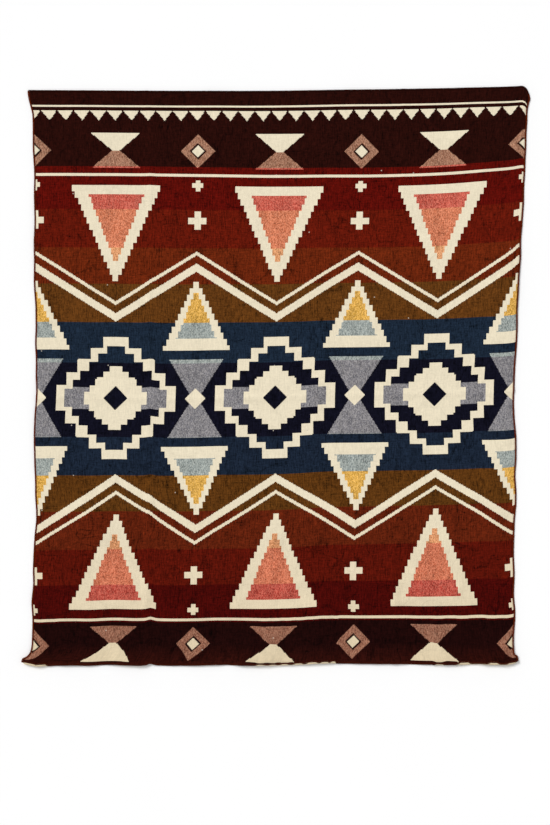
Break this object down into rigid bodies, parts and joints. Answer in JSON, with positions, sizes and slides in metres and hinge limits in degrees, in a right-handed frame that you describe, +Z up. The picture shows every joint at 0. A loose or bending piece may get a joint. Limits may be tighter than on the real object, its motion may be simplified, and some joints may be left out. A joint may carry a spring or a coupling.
{
  "type": "alpaca throw blanket",
  "caption": "Woven throw laid out flat, with soft folds, crosswise colour bands, light geometric figures and an overlocked edging.",
  "frame": {"origin": "on the surface that the throw lies on, under the middle of its bounding box", "axes": "+Y towards the top edge along the throw's length, +X to the right across its width, +Z up out of its face"},
  "size_m": [1.6801, 1.9166, 0.0142],
  "materials": {
    "cloth": "brushed double-woven wool, matt, bands of dark brown, red, rust, olive, blue and navy with cream figures",
    "edging_yarn": "overlocked wool yarn, matt rust brown"
  },
  "bodies": {
    "root": {"throw_cloth": "cloth", "edging_top": "edging_yarn", "edging_hem": "edging_yarn", "edging_left": "edging_yarn", "edging_right": "edging_yarn"}
  },
  "joints": []
}
